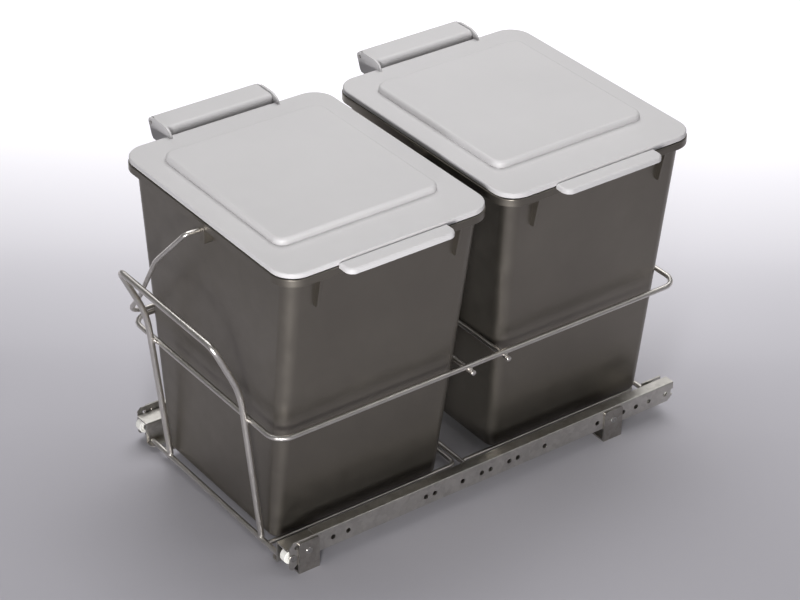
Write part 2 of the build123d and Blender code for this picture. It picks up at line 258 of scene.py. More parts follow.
@dataclass(frozen=True)
class PlatedWire:
    """Drawn wire with a satin plating: fine pits and slightly uneven gloss.

    Scales are in features per metre, and depths in metres.
    """

    name: str
    colour: Colour
    shade: Colour
    gloss: float
    shade_scale: float = 60.0
    gloss_scale: float = 240.0
    pit_scale: float = 1400.0
    pit_depth: float = 0.00001

    def material(self) -> bpy.types.Material:
        """The finish as a material."""
        draft = ShaderDraft(self.name)
        patches = draft.spread(draft.noise(self.shade_scale, 4.0), 0.0, 1.0)
        return draft.surface({
            "Base Color": draft.blend(patches, self.colour, self.shade),
            "Metallic": 1.0,
            "Roughness": draft.roughness(self.gloss_scale, 3.0, self.gloss, 0.07, 0.08),
            "Normal": draft.relief(draft.noise(self.pit_scale, 2.0), self.pit_depth, 0.4),
        })


@dataclass(frozen=True)
class ZincSheet:
    """Zinc plated sheet steel: cloudy spangle, rolling lines and dull patches.

    Scales are in features per metre, and depths in metres.
    """

    name: str
    colour: Colour
    shade: Colour
    gloss: float
    spangle_scale: float = 260.0
    cloud_scale: float = 40.0
    gloss_scale: float = 130.0
    line_scale: Point = (900.0, 12.0, 900.0)
    line_depth: float = 0.00004

    def material(self) -> bpy.types.Material:
        """The finish as a material."""
        draft = ShaderDraft(self.name)
        cells = draft.add("ShaderNodeTexVoronoi", "Color", {
            "Vector": draft.place, "Scale": self.spangle_scale})
        grey = draft.add("ShaderNodeRGBToBW", "Val", {"Color": cells})
        spangle = draft.maths("ADD", grey, draft.noise(self.cloud_scale, 4.0))
        lines = draft.noise(1.0, 3.0, draft.stretched(self.line_scale))
        return draft.surface({
            "Base Color": draft.blend(draft.spread(spangle, 0.0, 1.0, (0.5, 1.4)), self.colour, self.shade),
            "Metallic": 1.0,
            "Roughness": draft.roughness(self.gloss_scale, 4.0, self.gloss, 0.08, 0.1),
            "Normal": draft.relief(lines, self.line_depth, 0.4),
        })


@dataclass(frozen=True)
class StudioFloor:
    """A matt grey sheet that pales behind the unit, by a glow that only shows and lights nothing.

    The glow grows along the camera's line of sight, between two distances from the unit in metres, and
    the stops give its strength at parts of that way.
    """

    azimuth: float
    colour: Colour = linear(186, 184, 191)
    glow: Colour = linear(246, 245, 247)
    reach: Spot = (-0.3, 0.9)
    stops: Outline = ((0.0, 0.0), (0.25, 0.02), (0.37, 0.08), (0.53, 0.28), (0.72, 0.62), (1.0, 0.9))
    cloud: float = 1.05
    cloud_scale: float = 1.6
    dust_scale: float = 400.0
    dust_depth: float = 0.0001

    def strength(self, draft: ShaderDraft) -> Socket:
        """How strong the glow is to the camera and in reflections. Other rays don't meet it.

        Args:
            draft: The material under construction.

        Returns:
            The strength's socket.
        """
        turned = draft.add("ShaderNodeMapping", "Vector", {
            "Vector": draft.place, "Rotation": (0, 0, -radians(self.azimuth))})
        away = draft.add("ShaderNodeSeparateXYZ", "Y", {"Vector": turned})
        ramp = draft.node("ShaderNodeValToRGB", {"Fac": draft.spread(away, 0.0, 1.0, self.reach)})
        ramp.color_ramp.interpolation = "CARDINAL"
        marks = ramp.color_ramp.elements
        marks[1].color = (*(self.stops[-1][1],) * 3, 1)
        marks[0].color = (*(self.stops[0][1],) * 3, 1)
        for position, level in self.stops[1:-1]:
            marks.new(position).color = (level, level, level, 1)
        rays = draft.node("ShaderNodeLightPath").outputs
        seen = rays["Is Camera Ray"]
        for ray in ("Is Glossy Ray", "Is Transmission Ray"):
            seen = draft.maths("ADD", seen, rays[ray])
        return draft.maths("MULTIPLY", seen, ramp.outputs["Color"])

    def material(self) -> bpy.types.Material:
        """The finish as a material."""
        draft = ShaderDraft("studio_floor")
        glow = draft.add("ShaderNodeEmission", "Emission", {
            "Color": (*self.glow, 1), "Strength": self.strength(draft)})
        cloud = tuple(part * self.cloud for part in self.colour)
        return draft.surface({
            "Base Color": draft.blend(draft.noise(self.cloud_scale, 3.0), self.colour, cloud),
            "Roughness": 0.9,
            "Specular IOR Level": 0.1,
            "Normal": draft.relief(draft.noise(self.dust_scale, 2.0), self.dust_depth, 0.1),
        }, glow)


@dataclass(frozen=True)
class Palette:
    """The finishes of the whole unit, made into materials once."""

    bin: bpy.types.Material
    lid: bpy.types.Material
    wire: bpy.types.Material
    sheet: bpy.types.Material
    bracket: bpy.types.Material
    roller: bpy.types.Material
    pin: bpy.types.Material

    @classmethod
    def mixed(cls) -> "Palette":
        """The palette, with every finish as the photograph shows it."""
        finishes = {
            "bin": MouldedPlastic("bin_plastic", linear(124, 119, 111), linear(115, 110, 103), 0.36, 0.9),
            "lid": MouldedPlastic("lid_plastic", linear(200, 198, 199), linear(196, 194, 195), 0.5),
            "wire": PlatedWire("frame_wire", linear(216, 212, 208), linear(202, 198, 193), 0.37),
            "sheet": ZincSheet("runner_zinc", linear(200, 197, 192), linear(184, 181, 176), 0.36),
            "bracket": ZincSheet("bracket_zinc", linear(166, 162, 157), linear(148, 144, 139), 0.42),
            "roller": MouldedPlastic("roller_nylon", linear(232, 231, 226), linear(224, 222, 216), 0.45),
            "pin": PlatedWire("bright_pin", linear(190, 188, 184), linear(160, 158, 154), 0.28),
        }
        return cls(**{part: finish.material() for part, finish in finishes.items()})


# ---- making meshes ----
def arc(centre: Spot, radius: float, start: float, end: float, steps: int) -> list[Spot]:
    """Points along an arc of so many straight pieces, from one angle to another in degrees."""
    angles = [radians(start + (end - start) * step / steps) for step in range(steps + 1)]
    return [(centre[0] + radius * cos(a), centre[1] + radius * sin(a)) for a in angles]


def rounded_ring(half: Spot, corners: float | Sequence[float], centre: Spot, z: float,
                 steps: int = 12) -> Ring:
    """A level rectangle with rounded corners, anticlockwise from above.

    Args:
        half: Half its size along X and along Y.
        corners: The radius of its corners, or one for each, from the corner at +X and +Y anticlockwise.
        centre: Where its centre is in X and Y.
        z: Its height.
        steps: How many straight pieces round each corner.

    Returns:
        Its points.
    """
    radii = corners if isinstance(corners, Sequence) else (corners,) * 4
    signs = ((1, 1), (-1, 1), (-1, -1), (1, -1))
    ring = []
    for quarter, (radius, (sign_x, sign_y)) in enumerate(zip(radii, signs)):
        middle = (centre[0] + sign_x * (half[0] - radius), centre[1] + sign_y * (half[1] - radius))
        ring += [(x, y, z) for x, y in arc(middle, radius, 90 * quarter, 90 * quarter + 90, steps)]
    return ring


def drawn(mesh: bmesh.types.BMesh, name: str) -> bpy.types.Mesh:
    """Turn a bmesh into mesh data, and free it."""
    data = bpy.data.meshes.new(name)
    mesh.to_mesh(data)
    mesh.free()
    return data


class ShapeDraft:
    """A closed shape under construction."""

    SIDES = 48

    def __init__(self) -> None:
        """Start with nothing."""
        self.mesh = bmesh.new()

    def loft(self, rings: Sequence[Ring], around: bool = False) -> "ShapeDraft":
        """Join rings of equal length into a closed skin.

        Args:
            rings: The rings in order.
            around: Whether the last ring joins the first. Otherwise each end gets a face.

        Returns:
            This draft.
        """
        rows = [[self.mesh.verts.new(point) for point in ring] for ring in rings]
        for low, high in zip(rows, rows[1:] + rows[:1] if around else rows[1:]):
            for i, corner in enumerate(low):
                j = (i + 1) % len(low)
                self.mesh.faces.new((corner, low[j], high[j], high[i]))
        if not around:
            self.mesh.faces.new(rows[0][::-1])
            self.mesh.faces.new(rows[-1])
        return self

    def turned(self, profile: Outline, around: bool = False) -> "ShapeDraft":
        """A shape turned round the X axis.

        Args:
            profile: Places along X, each with its radius.
            around: Whether the profile closes on itself, as round a bore.

        Returns:
            This draft.
        """
        steps, last = self.SIDES - 1, 360 - 360 / self.SIDES
        rings = [[(x, y, z) for y, z in arc((0, 0), radius, 0, last, steps)] for x, radius in profile]
        return self.loft(rings, around)

    def plate(self, outline: Outline, near: float, far: float,
              holes: Sequence[Outline] = ()) -> "ShapeDraft":
        """A flat plate square to Y, of any outline, with holes through it.

        Args:
            outline: Its outline in X and Z.
            near: Where one face is along Y.
            far: Where the other face is.
            holes: The outlines of its holes.

        Returns:
            This draft.
        """
        edges = []
        for loop in (outline, *holes):
            verts = [self.mesh.verts.new((x, near, z)) for x, z in loop]
            edges += [self.mesh.edges.new((verts[i - 1], verts[i])) for i in range(len(verts))]
        filled = bmesh.ops.triangle_fill(self.mesh, use_beauty=True, edges=edges)["geom"]
        faces = [item for item in filled if isinstance(item, bmesh.types.BMFace)]
        grown = bmesh.ops.extrude_face_region(self.mesh, geom=faces, use_keep_orig=True)["geom"]
        moved = [item for item in grown if isinstance(item, bmesh.types.BMVert)]
        bmesh.ops.translate(self.mesh, vec=(0, far - near, 0), verts=moved)
        return self

    def ball(self) -> "ShapeDraft":
        """A ball of radius 1, of a few faces."""
        bmesh.ops.create_icosphere(self.mesh, subdivisions=2, radius=1.0)
        return self

    def soften(self, width: float, segments: int = 2, angle: float = 35.0) -> "ShapeDraft":
        """Round the sharp edges.

        Args:
            width: How far the rounding reaches.
            segments: How many faces across it.
            angle: Edges that turn less than this many degrees are left.

        Returns:
            This draft.
        """
        bmesh.ops.recalc_face_normals(self.mesh, faces=self.mesh.faces)
        least = radians(angle)
        sharp = [e for e in self.mesh.edges if len(e.link_faces) == 2 and e.calc_face_angle(0) > least]
        bmesh.ops.bevel(self.mesh, geom=sharp, offset=width, segments=segments, profile=0.5, affect="EDGES",
                        clamp_overlap=True)
        return self

    def data(self) -> bpy.types.Mesh:
        """The draft as mesh data, in millimetres, with its faces outwards."""
        bmesh.ops.recalc_face_normals(self.mesh, faces=self.mesh.faces)
        return drawn(self.mesh, "draft")


def new_object(name: str, data: bpy.types.ID) -> bpy.types.Object:
    """Put a mesh, a light or a camera into the scene."""
    made = bpy.data.objects.new(name, data)
    bpy.context.scene.collection.objects.link(made)
    return made


def settled(thing: bpy.types.Object) -> bpy.types.Object:
    """Turn an object's modifiers into its plain mesh, and remove them.

    Args:
        thing: The object.

    Returns:
        The object.
    """
    bpy.context.view_layer.update()
    result = thing.evaluated_get(bpy.context.evaluated_depsgraph_get())
    plain = bpy.data.meshes.new_from_object(result)
    thing.modifiers.clear()
    thing.data = plain
    return thing


def piece(name: str, shapes: Iterable[bpy.types.Mesh], finish: bpy.types.Material) -> bpy.types.Object:
    """Make one finished object of several shapes drawn in millimetres.

    Args:
        name: The object's name.
        shapes: The shapes.
        finish: Their material.

    Returns:
        The object, in metres, in the CAD model's frame.
    """
    merged = bmesh.new()
    for shape in shapes:
        merged.from_mesh(shape)
    for face in merged.faces:
        face.material_index = 0
    data = drawn(merged, name)
    data.transform(Matrix.Scale(MM, 4) @ Matrix.Translation((0, ORIGIN_SHIFT, 0)))
    data.materials.append(finish)
    data.shade_smooth()
    data.set_sharp_from_angle(angle=radians(40))
    made = new_object(name, data)
    made.modifiers.new("even_normals", "WEIGHTED_NORMAL").keep_sharp = True
    return settled(made)


def show(made: bpy.types.Object, body: str, slot: str, *nodes: str) -> None:
    """Tie a finished piece to its body, and hide the CAD nodes that it stands for.

    Args:
        made: The piece.
        body: The body that it rides on.
        slot: Not used.
        nodes: The CAD nodes that it replaces.
    """
    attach(made, body)
    if nodes:
        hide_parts(*nodes)
    log.info("%s: %d faces on %s", made.name, len(made.data.polygons), body)


# ---- node trees that make what repeats or follows a path ----
class TreeDraft(NodeDraft):
    """A geometry node tree under construction."""

    def __init__(self, name: str, **sizes: str) -> None:
        """Start a tree with a mesh and a finish in, and a mesh out.

        Args:
            name: The tree's name.
            sizes: The tree's other named inputs, with the type of each.
        """
        self.tree = bpy.data.node_groups.new(name, "GeometryNodeTree")
        self.tree.interface.new_socket("Geometry", in_out="OUTPUT", socket_type="NodeSocketGeometry")
        given = {"Geometry": "NodeSocketGeometry", "Finish": "NodeSocketMaterial", **sizes}
        for key, kind in given.items():
            self.tree.interface.new_socket(key, in_out="INPUT", socket_type=kind)
        self.given = self.node("NodeGroupInput").outputs

    def mark(self, name: str, kind: str) -> Socket:
        """The value of a named attribute."""
        return self.add("GeometryNodeInputNamedAttribute", "Attribute", {"Name": name}, data_type=kind)

    def close(self, shape: Socket) -> None:
        """End the tree: instances made real, smooth shading, and the finish.

        Args:
            shape: The geometry that the tree has made.
        """
        real = self.add("GeometryNodeRealizeInstances", "Geometry", {"Geometry": shape})
        smooth = self.add("GeometryNodeSetShadeSmooth", "Geometry", {"Geometry": real})
        done = self.add("GeometryNodeSetMaterial", "Geometry", {
            "Geometry": smooth, "Material": self.given["Finish"]})
        self.node("NodeGroupOutput", {"Geometry": done})

    def apply(self, thing: bpy.types.Object, values: dict[str, object]) -> bpy.types.Object:
        """Run the tree on an object, and leave a plain mesh.

        Args:
            thing: The object whose mesh the tree reads.
            values: The tree's inputs, by name.

        Returns:
            The object.
        """
        modifier = thing.modifiers.new(self.tree.name, "NODES")
        modifier.node_group = self.tree
        items = self.tree.interface.items_tree
        identifiers = {item.name: item.identifier for item in items if item.in_out == "INPUT"}
        for key, value in values.items():
            modifier[identifiers[key]] = value
        return settled(thing)


@dataclass(frozen=True)
class WireRun:
    """One wire: the corners of its straight runs, and how wide each corner is bent."""

    points: tuple[Point, ...]
    bends: tuple[float, ...] = ()
    closed: bool = False


class WireBender:
    """Makes round wire that follows straight runs, with bent corners and crowned ends."""

    SIDES = 20
    STEPS_IN_BEND = 10
    CROWN_RINGS = 8
    CROWN = 0.35

    def __init__(self) -> None:
        """Build the tree."""
        number = "NodeSocketFloat"
        draft = TreeDraft("bent_wire", Diameter=number, Crown=number, Sides="NodeSocketInt")
        given = draft.given
        half = draft.maths("MULTIPLY", given["Diameter"], 0.5)
        path = draft.add("GeometryNodeMeshToCurve", "Curve", {"Mesh": given["Geometry"]})
        bent = draft.add("GeometryNodeFilletCurve", "Curve", {
            "Curve": path, "Radius": draft.mark("bend", "FLOAT"), "Count": self.STEPS_IN_BEND,
            "Limit Radius": True}, mode="POLY")
        section = draft.add("GeometryNodeCurvePrimitiveCircle", "Curve", {
            "Radius": half, "Resolution": given["Sides"]}, mode="RADIUS")
        tube = draft.add("GeometryNodeCurveToMesh", "Mesh", {
            "Curve": bent, "Profile Curve": section, "Fill Caps": True})
        ball = draft.add("GeometryNodeMeshUVSphere", "Mesh", {
            "Segments": given["Sides"], "Rings": self.CROWN_RINGS, "Radius": half})
        crowns = draft.add("GeometryNodeInstanceOnPoints", "Instances", {
            "Points": bent, "Instance": ball,
            "Selection": draft.add("GeometryNodeCurveEndpointSelection", "Selection"),
            "Rotation": draft.add("FunctionNodeAlignRotationToVector", "Rotation", {
                "Vector": draft.add("GeometryNodeInputTangent", "Tangent")}, axis="Z"),
            "Scale": draft.add("ShaderNodeCombineXYZ", "Vector", {"X": 1.0, "Y": 1.0, "Z": given["Crown"]})})
        both = draft.node("GeometryNodeJoinGeometry")
        for part in (tube, crowns):
            draft.join(part, both.inputs["Geometry"])
        draft.close(both.outputs["Geometry"])
        self.draft = draft

    def bend(self, name: str, runs: Sequence[WireRun], diameter: float,
             finish: bpy.types.Material) -> bpy.types.Object:
        """Make wires of one diameter.

        Args:
            name: The object's name.
            runs: The wires.
            diameter: Their diameter in millimetres.
            finish: Their material.

        Returns:
            The finished object.
        """
        points, edges, bends = [], [], []
        for run in runs:
            first, last = len(points), len(points) + len(run.points) - 1
            points += [(x * MM, (y + ORIGIN_SHIFT) * MM, z * MM) for x, y, z in run.points]
            edges += [(i, i + 1) for i in range(first, last)] + [(last, first)] * run.closed
            bends += run.bends if run.closed else (0.0, *run.bends, 0.0)
        data = bpy.data.meshes.new(name)
        data.from_pydata(points, edges, [])
        marks = data.attributes.new("bend", "FLOAT", "POINT")
        marks.data.foreach_set("value", [bend * MM for bend in bends])
        return self.draft.apply(new_object(name, data), {
            "Diameter": diameter * MM, "Crown": self.CROWN, "Sides": self.SIDES, "Finish": finish})


UNTURNED: Point = (0.0, 0.0, 0.0)
HALF_TURN: Point = (0.0, 0.0, pi)


@dataclass(frozen=True)
class Place:
    """Where one copy of a repeated shape goes, how it is turned, and its size."""

    point: Point
    turn: Point = UNTURNED
    size: Point = (1.0, 1.0, 1.0)


class Repeater:
    """Puts copies of one shape at marked places, as one mesh."""

    def __init__(self) -> None:
        """Build the tree."""
        draft = TreeDraft("copies_at_places", Shape="NodeSocketObject")
        turn = draft.mark("turn", "FLOAT_VECTOR")
        copies = draft.add("GeometryNodeInstanceOnPoints", "Instances", {
            "Points": draft.given["Geometry"],
            "Instance": draft.add("GeometryNodeObjectInfo", "Geometry", {"Object": draft.given["Shape"]}),
            "Rotation": draft.add("FunctionNodeEulerToRotation", "Rotation", {"Euler": turn}),
            "Scale": draft.mark("size", "FLOAT_VECTOR")})
        draft.close(copies)
        self.draft = draft

    def repeat(self, name: str, shape: bpy.types.Mesh, places: Sequence[Place],
               finish: bpy.types.Material) -> bpy.types.Mesh:
        """Make the copies.

        Args:
            name: What the copies are.
            shape: The shape, in millimetres round its own origin.
            places: Where the copies go.
            finish: Their material.

        Returns:
            One mesh of them all, in millimetres.
        """
        pattern = new_object(name + "_pattern", shape)
        data = bpy.data.meshes.new(name)
        data.from_pydata([place.point for place in places], [], [])
        for key in ("turn", "size"):
            marks = data.attributes.new(key, "FLOAT_VECTOR", "POINT")
            marks.data.foreach_set("vector", [value for place in places for value in getattr(place, key)])
        made = self.draft.apply(new_object(name, data), {"Shape": pattern, "Finish": finish})
        result = made.data
        for thing in (made, pattern):
            bpy.data.objects.remove(thing)
        return result


@dataclass
class Workshop:
    """What every sub-assembly is made with."""

    palette: Palette
    bender: WireBender = field(default_factory=WireBender)
    repeater: Repeater = field(default_factory=Repeater)


# ---- sub-assemblies ----
@dataclass
class BinPart:
    """A part of one of the two bins, set round the middle of its bin."""

    end: End

    @property
    def y(self) -> float:
        """Where the bin's middle is along Y."""
        return self.end.value * BIN_PITCH / 2

    def called(self, thing: str) -> str:
        """The name of a thing of this bin."""
        return f"{self.end.label}_{thing}"


@dataclass
class WasteBin(BinPart):
    """One tapered bin with its turned-down rim, gussets and bail bosses.

    The skirt's inside and its edge are insets from the rim with heights, over the bin's shoulder and over the
    edge. The root is how deep the gussets and the bosses reach into the walls.
    """

    bottom: float = 11.4
    bottom_half: Spot = (91.0, 91.0)
    bottom_corner: float = 10.0
    foot_shift: float = 6.0
    top: float = 297.2
    top_half: Spot = (125.0, 101.0)
    top_corner: float = 14.5
    wall: float = 2.5
    base_round: float = 5.0
    floor_round: float = 4.0
    shoulder_round: float = 1.5
    wall_steps: tuple[float, ...] = (0.02, 0.35, 0.7, 1.0)
    rim_half: Spot = (RIM_REACH, RIM_FACE)
    rim_corner: float = 22.8
    rim_top: float = 304.6
    rim_edge: float = 0.9
    skirt_inside: Outline = ((3.3, 0.0), (2.8, -0.3), (2.5, -0.9))
    skirt_edge: Outline = ((2.5, 0.4), (2.2, 0.0), (0.4, 0.0), (0.0, 0.4))
    gusset_y: float = 72.5
    gusset_low: float = 267.0
    gusset_reach: Spot = (125.5, 131.8)
    gusset_toe: Outline = ((-1.0, 0.0), (0.4, 1.2))
    gusset_half: float = 1.0
    boss_half: float = 9.0
    boss_low: float = 282.5
    boss_round: float = 3.0
    under_rim: float = 1.5
    root: Spot = (6.0, 4.0)

    def tub_ring(self, grow: float, z: float) -> Ring:
        """The tapered outline at a height, moved outwards."""
        part = (z - self.bottom) / (self.top - self.bottom)
        halves = zip(self.bottom_half, self.top_half)
        half_x, half_y = (low + part * (high - low) + grow for low, high in halves)
        corner = self.bottom_corner + part * (self.top_corner - self.bottom_corner) + grow
        middle = self.y + self.end.value * self.foot_shift * (1 - part)
        return rounded_ring((half_x, half_y), corner, (0, middle), z)

    def rim_ring(self, inset: float, z: float) -> Ring:
        """The rim's outline at a height, moved inwards."""
        half_x, half_y = self.rim_half
        return rounded_ring((half_x - inset, half_y - inset), self.rim_corner - inset, (0, self.y), z)

    def shell(self) -> bpy.types.Mesh:
        """The tub and its rim as one closed skin."""
        shoulder = self.rim_top - self.wall
        low, high = self.bottom + self.base_round, shoulder - self.shoulder_round
        outside = arc((-self.base_round, low), self.base_round, -90, 0, 6)
        outside += [(0, low + (high - low) * part) for part in self.wall_steps]
        outside += arc((self.shoulder_round, high), self.shoulder_round, 180, 90, 4)[1:]
        edge, turn = self.rim_edge, self.rim_top - self.rim_edge
        rim = [(inset, shoulder + z) for inset, z in self.skirt_inside]
        rim += [(inset, self.top + z) for inset, z in self.skirt_edge]
        rim += [(edge - r, z) for r, z in arc((0, turn), edge, 0, 90, 4)]
        floor = self.bottom + self.wall + self.floor_round
        inside = arc((edge, turn), edge, 90, 180, 4)
        inside += arc((-self.floor_round, floor), self.floor_round, 0, -90, 6)
        rings = [self.tub_ring(grow, z) for grow, z in outside]
        rings += [self.rim_ring(inset, z) for inset, z in rim]
        rings += [self.tub_ring(grow - self.wall, z) for grow, z in inside]
        return ShapeDraft().loft(rings).data()

    def gussets(self, workshop: Workshop) -> bpy.types.Mesh:
        """The four thin webs under the rim."""
        foot, high = self.top_half[0] - self.root[0], self.rim_top - self.under_rim
        (near, far), low = self.gusset_reach, self.gusset_low
        toe = [(near + out, low + up) for out, up in self.gusset_toe]
        outline = [(foot, low), *toe, (far, self.top), (far, high), (foot, high)]
        web = ShapeDraft().plate(outline, -self.gusset_half, self.gusset_half).soften(0.35).data()
        places = [Place((0, self.y + y, 0), turn) for y in (-self.gusset_y, self.gusset_y)
                  for turn in (UNTURNED, HALF_TURN)]
        return workshop.repeater.repeat("gussets", web, places, workshop.palette.bin)

    def bosses(self, workshop: Workshop) -> bpy.types.Mesh:
        """The two thick places under the rim that the bail turns in."""
        half, soft = self.boss_half, self.boss_round
        low, high = self.boss_low, self.rim_top - self.under_rim
        outline = [(-half, high), (half, high), *arc((half - soft, low + soft), soft, 0, -90, 5),
                   *arc((soft - half, low + soft), soft, -90, -180, 5)]
        block = ShapeDraft().plate(outline, self.top_half[1] - self.root[1], self.rim_half[1] + 0.3)
        places = [Place((0, self.y, 0), turn) for turn in (UNTURNED, HALF_TURN)]
        return workshop.repeater.repeat("bosses", block.soften(0.6, 3).data(), places, workshop.palette.bin)

    def build(self, workshop: Workshop) -> None:
        """Make the bin and tie it to its body."""
        shapes = [self.shell(), self.gussets(workshop), self.bosses(workshop)]
        made = piece(self.called("bin_moulding"), shapes, workshop.palette.bin)
        show(made, self.called("bin"), "bin_plastic", self.called("bin"))


@dataclass
class BinLid(BinPart):
    """One lid: flat shell, raised panel, grip and the two cheeks of its hinge.

    The panel's slopes are lists of insets with rises, over the lid's top and over the ceiling under it. The
    cheeks' outline is in three runs: from the lid's far edge, over the pin, and hooked under the pin.
    """

    half: Spot = (132.0, 108.25)
    corner: float = 22.0
    bottom: float = 305.4
    top: float = 310.0
    wall: float = 2.2
    edge: float = 1.5
    inner_edge: float = 0.8
    burr: float = 0.3
    panel_half: Spot = (93.5, 84.5)
    panel_x: float = -6.5
    panel_corner: float = 10.0
    panel_slope: Outline = ((-0.5, 0.0), (-0.12, 0.12), (0.0, 0.5), (0.1, 2.2), (0.25, 3.6),
                                     (0.6, 4.6), (1.2, 5.35), (2.1, 5.8), (3.4, 6.0))
    panel_ceiling: Outline = ((7.0, 6.0), (4.0, 5.4), (2.4, 3.0), (1.2, 0.0))
    grip_half: float = 56.0
    grip_reach: Spot = (0.25, 17.0)
    grip_corners: tuple[float, ...] = (8.0, 1.5, 1.5, 8.0)
    grip_top: float = 308.5
    grip_round: float = 2.2
    grip_skirt: float = 5.2
    grip_wall: float = 2.0
    grip_inner_edge: float = 0.5
    root_half: float = 3.0
    root_z: Spot = (305.6, 307.2)
    root_inset: float = 4.0
    cheek_foot: float = -125.5
    cheek_rise: Outline = ((0.0, 0.0), (-1.0, 2.4), (-2.6, 4.6), (-5.0, 6.3), (-8.5, 7.6),
                                    (-13.0, 8.3))
    cheek_crown: Outline = ((8.0, 6.5), (4.0, 5.8))
    cheek_hook: Outline = ((0.5, -12.8), (3.0, -15.3), (17.5, -15.3), (20.0, -13.8), (25.2, -7.2),
                                    (26.5, -5.9))
    boss: float = 4.6
    bore: float = 1.58
    cheek_gap: float = 0.6
    cheek_thickness: float = 2.0

    def edge_ring(self, inset: float, z: float) -> Ring:
        """The lid's outline at a height, moved inwards."""
        half_x, half_y = self.half
        return rounded_ring((half_x - inset, half_y - inset), self.corner - inset, (0, self.y), z)

    def panel_ring(self, inset: float, z: float) -> Ring:
        """The raised panel's outline at a height, moved inwards."""
        half_x, half_y = self.panel_half
        corner = max(self.panel_corner - inset / 2, 2.0)
        return rounded_ring((half_x - inset, half_y - inset), corner, (self.panel_x, self.y), z)

    def lip_ring(self, inset: float, z: float) -> Ring:
        """The grip's outline at a height, moved inwards."""
        near, far = (self.half[0] + reach for reach in self.grip_reach)
        half = ((far - near) / 2 - inset, self.grip_half - inset)
        corners = [max(radius - inset, 0.5) for radius in self.grip_corners]
        return rounded_ring(half, corners, ((near + far) / 2, self.y), z, 8)

    def shell(self) -> bpy.types.Mesh:
        """The lid's skin with its raised panel, hollow underneath."""
        wall, ceiling, burr, turn = self.wall, self.top - self.wall, self.burr, self.inner_edge
        side = [(wall + turn, ceiling), (wall, ceiling - turn), (wall, self.bottom), (burr, self.bottom),
                (0.0, self.bottom + burr)]
        side += [(self.edge - r, z) for r, z in arc((0, self.top - self.edge), self.edge, 0, 90, 5)]
        rings = [self.panel_ring(inset, ceiling + z) for inset, z in self.panel_ceiling]
        rings += [self.edge_ring(inset, z) for inset, z in side]
        rings += [self.panel_ring(inset, self.top + z) for inset, z in self.panel_slope]
        return ShapeDraft().loft(rings).data()

    def grip(self) -> bpy.types.Mesh:
        """The cushion-like lip that a finger lifts, hollow underneath."""
        wall, soft, burr, turn = self.grip_wall, self.grip_round, self.burr, self.grip_inner_edge
        top, low = self.grip_top, self.grip_top - self.grip_skirt
        section = [(wall + turn, top - wall), (wall, top - wall - turn), (wall, low + burr),
                   (wall - burr, low), (burr, low), (0.0, low + burr)]
        section += [(soft - r, z) for r, z in arc((0, top - soft), soft, 0, 90, 6)]
        return ShapeDraft().loft([self.lip_ring(inset, z) for inset, z in section]).data()

    def grip_root(self) -> bpy.types.Mesh:
        """The web that joins the lip to the lid's edge, deep in the groove."""
        (low, high), near, far = self.root_z, self.half[0] - self.root_half, self.half[0] + self.root_half
        reach = self.grip_half - self.root_inset
        outline = [(near, low), (far, low), (far, high), (near, high)]
        return ShapeDraft().plate(outline, self.y - reach, self.y + reach).data()

    def cheeks(self) -> list[bpy.types.Mesh]:
        """The two arms that turn on the hinge pin."""
        x, z = HINGE_AXIS
        outline = [(self.cheek_foot, self.bottom + 0.5)]
        outline += [(self.cheek_foot + out, self.top + up) for out, up in self.cheek_rise]
        outline += [(x + out, z + up) for out, up in self.cheek_crown]
        outline += arc(HINGE_AXIS, self.boss, 70, 180, 8)
        outline += [(x + out, z + up) for out, up in self.cheek_hook]
        bore = arc(HINGE_AXIS, self.bore, 0, 345, 23)
        near = BAR_HALF + self.cheek_gap
        far = near + self.cheek_thickness
        return [ShapeDraft().plate(outline, self.y + low, self.y + high, [bore]).soften(0.4, 3).data()
                for low, high in ((-far, -near), (near, far))]

    def build(self, workshop: Workshop) -> None:
        """Make the lid and tie it to its body."""
        shapes = [self.shell(), self.grip(), self.grip_root(), *self.cheeks()]
        made = piece(self.called("lid_moulding"), shapes, workshop.palette.lid)
        show(made, self.called("lid"), "lid_plastic", self.called("lid"))


